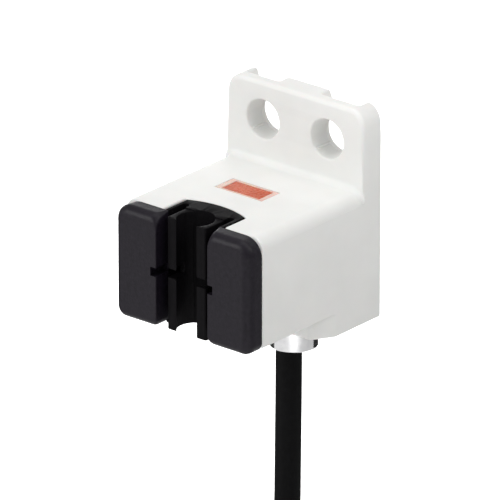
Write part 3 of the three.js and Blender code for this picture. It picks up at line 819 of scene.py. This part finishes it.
class Finish:
    """A node material: one principled shader, fed by procedural detail."""

    def __init__(self, name, **sockets):
        self.material = bpy.data.materials.new(name)
        self.material.use_nodes = True
        self.nodes = self.material.node_tree.nodes
        self.links = self.material.node_tree.links
        self.shader = self.nodes["Principled BSDF"]
        for socket, value in sockets.items():
            self.shader.inputs[socket.replace("_", " ")].default_value = value
        self.place = self.nodes.new("ShaderNodeTexCoord").outputs["Object"]
        self.bump = None

    def noise(self, size, detail=3.0, stretch=(1, 1, 1)):
        """Noise with features about size millimetres across."""
        mapping = self.nodes.new("ShaderNodeMapping")
        mapping.inputs["Scale"].default_value = stretch
        self.links.new(self.place, mapping.inputs["Vector"])
        noise = self.nodes.new("ShaderNodeTexNoise")
        noise.inputs["Scale"].default_value = 1 / (size * MM)
        noise.inputs["Detail"].default_value = detail
        self.links.new(mapping.outputs["Vector"], noise.inputs["Vector"])
        return noise.outputs["Fac"]

    def colour(self, value, low, high):
        """A base colour that goes from low to high with the value."""
        ramp = self.nodes.new("ShaderNodeValToRGB")
        for element, position, colour in zip(ramp.color_ramp.elements, (0.3, 0.7), (low, high)):
            element.position = position
            element.color = (*colour, 1)
        self.links.new(value, ramp.inputs["Fac"])
        self.links.new(ramp.outputs["Color"], self.shader.inputs["Base Color"])

    def roughness(self, value, low, high):
        """A roughness that goes from low to high with the value."""
        spread = self.nodes.new("ShaderNodeMapRange")
        spread.inputs["To Min"].default_value = low
        spread.inputs["To Max"].default_value = high
        self.links.new(value, spread.inputs["Value"])
        self.links.new(spread.outputs["Result"], self.shader.inputs["Roughness"])

    def relief(self, value, depth):
        """Bump of a depth in millimetres, on top of any bump before it."""
        bump = self.nodes.new("ShaderNodeBump")
        bump.inputs["Distance"].default_value = depth * MM
        self.links.new(value, bump.inputs["Height"])
        if self.bump is not None:
            self.links.new(self.bump, bump.inputs["Normal"])
        self.bump = bump.outputs["Normal"]
        self.links.new(self.bump, self.shader.inputs["Normal"])


def white_plastic():
    made = Finish("white_plastic", Specular_IOR_Level=0.4, Subsurface_Weight=0.06, Subsurface_Scale=0.0006)
    made.colour(made.noise(4, 2), (0.80, 0.80, 0.78), (0.83, 0.83, 0.81))
    made.roughness(made.noise(0.35, 3), 0.42, 0.52)
    made.relief(made.noise(0.16, 2), 0.006)
    made.relief(made.noise(2.5, 2), 0.012)
    return made.material


def black_cover_plastic():
    made = Finish("black_cover_plastic", Specular_IOR_Level=0.24)
    made.colour(made.noise(0.5, 4), (0.0062, 0.0044, 0.0085), (0.0108, 0.0082, 0.0140))
    made.roughness(made.noise(0.3, 3), 0.36, 0.5)
    made.relief(made.noise(0.16, 2), 0.02)
    made.relief(made.noise(0.6, 3), 0.012)
    return made.material


def black_insert_plastic():
    made = Finish("black_insert_plastic", Specular_IOR_Level=0.07)
    made.colour(made.noise(0.8, 3), (0.0026, 0.0023, 0.003), (0.0043, 0.0037, 0.0046))
    made.roughness(made.noise(0.4, 3), 0.5, 0.62)
    made.relief(made.noise(0.2, 2), 0.006)
    return made.material


def rim_resin():
    made = Finish("rim_resin", Specular_IOR_Level=0.5, Subsurface_Weight=0.4, Subsurface_Scale=0.0008)
    made.colour(made.noise(1.2, 2), (0.78, 0.50, 0.42), (0.86, 0.60, 0.52))
    made.roughness(made.noise(0.5, 2), 0.18, 0.3)
    made.relief(made.noise(0.4, 2), 0.008)
    return made.material


def lens_resin():
    made = Finish(
        "lens_resin",
        Specular_IOR_Level=0.35,
        Subsurface_Weight=0.15,
        Subsurface_Scale=0.0003,
        Coat_Weight=0.2,
        Coat_Roughness=0.15,
    )
    made.colour(made.noise(0.9, 3), (0.50, 0.076, 0.024), (0.59, 0.104, 0.034))
    made.roughness(made.noise(0.4, 2), 0.2, 0.34)
    made.relief(made.noise(0.35, 2), 0.012)
    return made.material


def polished_chrome():
    made = Finish("polished_chrome", Metallic=1.0)
    made.colour(made.noise(0.8, 3), (0.70, 0.70, 0.71), (0.80, 0.80, 0.80))
    made.roughness(made.noise(0.3, 3, (1, 1, 6)), 0.08, 0.16)
    made.relief(made.noise(0.5, 2, (1, 1, 8)), 0.002)
    return made.material


def soft_rubber():
    made = Finish("soft_rubber", Specular_IOR_Level=0.4)
    made.colour(made.noise(0.4, 3), (0.012, 0.012, 0.013), (0.022, 0.022, 0.023))
    made.roughness(made.noise(0.3, 3), 0.7, 0.85)
    made.relief(made.noise(0.2, 3), 0.02)
    return made.material


def vinyl(name, dark, light, low, high, specular=0.45):
    """Extruded cable insulation: faint lengthwise streaks and a fine bloom."""
    made = Finish(name, Specular_IOR_Level=specular)
    made.colour(made.noise(0.6, 4), dark, light)
    made.roughness(made.noise(0.4, 3), low, high)
    made.relief(made.noise(0.25, 3, (1, 1, 0.25)), 0.012)
    return made.material


def moulded_epoxy():
    made = Finish("moulded_epoxy", Specular_IOR_Level=0.4)
    made.colour(made.noise(0.2, 4), (0.012, 0.012, 0.012), (0.028, 0.028, 0.028))
    made.roughness(made.noise(0.2, 3), 0.55, 0.7)
    made.relief(made.noise(0.1, 2), 0.01)
    return made.material


def clear_epoxy():
    made = Finish("clear_epoxy", Specular_IOR_Level=0.5, Transmission_Weight=0.6, IOR=1.52)
    made.colour(made.noise(0.8, 2), (0.40, 0.45, 0.62), (0.55, 0.60, 0.72))
    made.roughness(made.noise(0.4, 2), 0.06, 0.14)
    return made.material


def infrared_resin():
    """Near-black resin that only lets infrared light through."""
    made = Finish("infrared_resin", Specular_IOR_Level=0.5)
    made.colour(made.noise(0.7, 2), (0.006, 0.003, 0.006), (0.012, 0.006, 0.010))
    made.roughness(made.noise(0.4, 2), 0.1, 0.2)
    made.relief(made.noise(0.5, 2), 0.006)
    return made.material


def fired_ceramic():
    made = Finish("fired_ceramic", Specular_IOR_Level=0.5)
    made.colour(made.noise(0.3, 4), (0.40, 0.26, 0.13), (0.55, 0.38, 0.21))
    made.roughness(made.noise(0.3, 3), 0.4, 0.55)
    made.relief(made.noise(0.15, 3), 0.01)
    return made.material


def bright_tin():
    made = Finish("bright_tin", Metallic=1.0)
    made.colour(made.noise(0.3, 3), (0.52, 0.51, 0.48), (0.72, 0.71, 0.68))
    made.roughness(made.noise(0.2, 3), 0.22, 0.4)
    made.relief(made.noise(0.12, 2, (3, 3, 0.4)), 0.02)
    return made.material


def solder_mask():
    """A green board: lacquer over copper tracks that show as slightly lighter lines."""
    made = Finish("solder_mask", Specular_IOR_Level=0.5, Coat_Weight=0.4, Coat_Roughness=0.2)
    bricks = made.nodes.new("ShaderNodeTexBrick")
    bricks.inputs["Scale"].default_value = 420
    bricks.inputs["Mortar Size"].default_value = 0.03
    bricks.inputs["Color1"].default_value = (0.012, 0.10, 0.035, 1)
    bricks.inputs["Color2"].default_value = (0.016, 0.12, 0.045, 1)
    bricks.inputs["Mortar"].default_value = (0.03, 0.19, 0.07, 1)
    made.links.new(made.place, bricks.inputs["Vector"])
    made.links.new(bricks.outputs["Color"], made.shader.inputs["Base Color"])
    made.roughness(made.noise(1, 3), 0.3, 0.45)
    made.relief(bricks.outputs["Fac"], 0.02)
    return made.material


WHITE = white_plastic()
COVER_BLACK = black_cover_plastic()
INSERT_BLACK = black_insert_plastic()
SHEATH = vinyl("cable_vinyl", (0.0018, 0.0018, 0.0021), (0.0034, 0.0034, 0.0038), 0.5, 0.62, 0.08)
CHROME = polished_chrome()
RUBBER = soft_rubber()
EPOXY = moulded_epoxy()
TIN = bright_tin()
CERAMIC = fired_ceramic()
WIRE = {
    "brown": vinyl("brown_vinyl", (0.11, 0.035, 0.014), (0.16, 0.055, 0.022), 0.4, 0.5),
    "blue": vinyl("blue_vinyl", (0.012, 0.075, 0.34), (0.02, 0.11, 0.45), 0.4, 0.5),
    "black": vinyl("black_vinyl", (0.008, 0.008, 0.008), (0.016, 0.016, 0.016), 0.4, 0.5),
}


def dress(piece, material):
    piece.data.materials.clear()
    piece.data.materials.append(material)
    return piece


# ---------------------------------------------------------------- the pieces in place


def put(piece, slot, material, *nodes):
    """Dresses a piece that rides on the sensor's body in place of some CAD nodes."""
    dress(piece, material)
    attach(piece, ROOT)
    if nodes:
        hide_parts(*nodes)


put(make_housing(), "white_body", WHITE, "housing")
put(make_cove(), "white_body", WHITE)
put(make_rear_cover(), "white_body", WHITE, "rear_cover")
put(make_pad(-1), "black_cover", COVER_BLACK, "left_pad")
put(make_pad(1), "black_cover", COVER_BLACK, "right_pad")
put(make_saddle(), "black_insert", INSERT_BLACK, "tube_saddle")
put(make_indicator_rim(), "window_rim", rim_resin(), "indicator_frame")
put(make_indicator_lens(), "window_lens", lens_resin(), "indicator_lens")
put(make_ring(), "ring_chrome", CHROME, "cable_ring")
dress(cable, SHEATH)

for side, jaw_body in ((-1, "left_jaw"), (1, "right_jaw")):
    finger = dress(make_jaw(side), INSERT_BLACK)
    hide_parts(jaw_body)
    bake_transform(finger)


# ---------------------------------------------------------------- CAD nodes that stay as they are

KEPT = {
    "cable_grommet": RUBBER,
    "cable_entry_sheath": SHEATH,
    "cable_tie": RUBBER,
    "circuit_board": solder_mask(),
    "indicator_led": clear_epoxy(),
    "emitter_led": infrared_resin(),
    "receiver_chip": EPOXY,
    "sensor_chip": EPOXY,
    "voltage_regulator": EPOXY,
    "output_transistor": EPOXY,
    "capacitor_1": CERAMIC,
    "capacitor_2": CERAMIC,
    "resistor_1": EPOXY,
    "resistor_2": EPOXY,
}
for lead in ("emitter_lead_1", "emitter_lead_2", "receiver_lead_1", "receiver_lead_2", "receiver_lead_3"):
    KEPT[lead] = TIN
for colour, vinyl_material in WIRE.items():
    KEPT[f"inner_wire_{colour}"] = vinyl_material
    KEPT[f"conductor_{colour}"] = vinyl_material
    KEPT[f"conductor_tip_{colour}"] = TIN
for node, material in KEPT.items():
    dress(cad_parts[node], material)

on_cable = ["cable_tie"]
for colour in WIRE:
    on_cable += [f"conductor_{colour}", f"conductor_tip_{colour}"]


# ---------------------------------------------------------------- floor and light

# In millimetres. The drop is how far each lies below the model. A flag's near and far ends are
# given by their half width and their distance from the middle.
FLOOR = {"reach": 6000, "drop": 4}
FLAG = {"near": (70, 110), "far": (150, 400), "drop": 3}
FLAG_AZIMUTHS = {"left_flag": 88, "right_flag": -8}
WORLD_STRENGTH = 0.40
SENSOR_MIDDLE = (0, -0.01, -0.01)

# Each light's name, place, target, side and power, in metres and watts.
LIGHTS = [
    ("top_soft", (0.0, -0.01, 0.20), SENSOR_MIDDLE, 0.20, 0.18),
    ("left_key", (-0.22, -0.37, 0.14), SENSOR_MIDDLE, 0.25, 0.9),
    ("right_fill", (0.14, -0.08, 0.10), SENSOR_MIDDLE, 0.10, 0.03),
    ("near_right_fill", (0.05, -0.005, 0.035), (0.0094, -0.01, -0.008), 0.03, 0.009),
    ("floor_soft", (-0.16, 0.18, 0.02), (-0.16, 0.18, -0.115), 0.25, 0.65),
    ("near_floor_soft", (0.15, -0.18, -0.04), (0.15, -0.18, -0.115), 0.14, 0.16),
]


def make_floor():
    """A plain pale floor below the hanging cable's end."""
    reach, level = FLOOR["reach"], cad_box[0].z / MM - FLOOR["drop"]
    corners = [(x * reach, y * reach, level) for x, y in ((-1, -1), (1, -1), (1, 1), (-1, 1))]
    floor = mesh_object("floor", corners, [(0, 1, 2, 3)])
    made = Finish("floor_paint")
    made.colour(made.noise(60, 2), (0.90, 0.90, 0.90), (0.92, 0.92, 0.92))
    made.roughness(made.noise(30, 2), 0.85, 0.95)
    dress(floor, made.material)


def make_flag(name, azimuth):
    """A dark card on the floor that only mirrored rays see, off to one side."""
    level = cad_box[0].z / MM - FLAG["drop"]
    turn = Matrix.Rotation(math.radians(azimuth), 2)
    (x0, near), (x1, far) = FLAG["near"], FLAG["far"]
    shape = [(-x0, near), (x0, near), (x1, far), (-x1, far)]
    corners = [(*(turn @ Vector(corner)), level) for corner in shape]
    flag = mesh_object(name, corners, [(0, 1, 2, 3)])
    made = Finish(name, Specular_IOR_Level=0.1)
    made.colour(made.noise(20, 2), (0.02, 0.02, 0.02), (0.03, 0.03, 0.03))
    made.roughness(made.noise(10, 2), 0.8, 0.95)
    dress(flag, made.material)
    flag.visible_camera = False
    flag.visible_diffuse = False
    flag.visible_shadow = False


def area_light(name, place, target, side, power):
    """A square light that the camera doesn't see."""
    data = bpy.data.lights.new(name, "AREA")
    data.size = side
    data.energy = power
    light = bpy.data.objects.new(name, data)
    light.location = place
    light.rotation_euler = (Vector(target) - Vector(place)).to_track_quat("-Z", "Y").to_euler()
    light.visible_camera = False
    SCENE.collection.objects.link(light)


def make_light():
    world = bpy.data.worlds.new("studio")
    world.use_nodes = True
    background = world.node_tree.nodes["Background"]
    background.inputs["Color"].default_value = (1, 1, 1, 1)
    background.inputs["Strength"].default_value = WORLD_STRENGTH
    SCENE.world = world
    for light in LIGHTS:
        area_light(*light)
    SCENE.view_settings.view_transform = "Standard"
    SCENE.view_settings.look = "None"


make_floor()
for flag_name, azimuth in FLAG_AZIMUTHS.items():
    make_flag(flag_name, azimuth)
make_light()

bpy.context.view_layer.update()
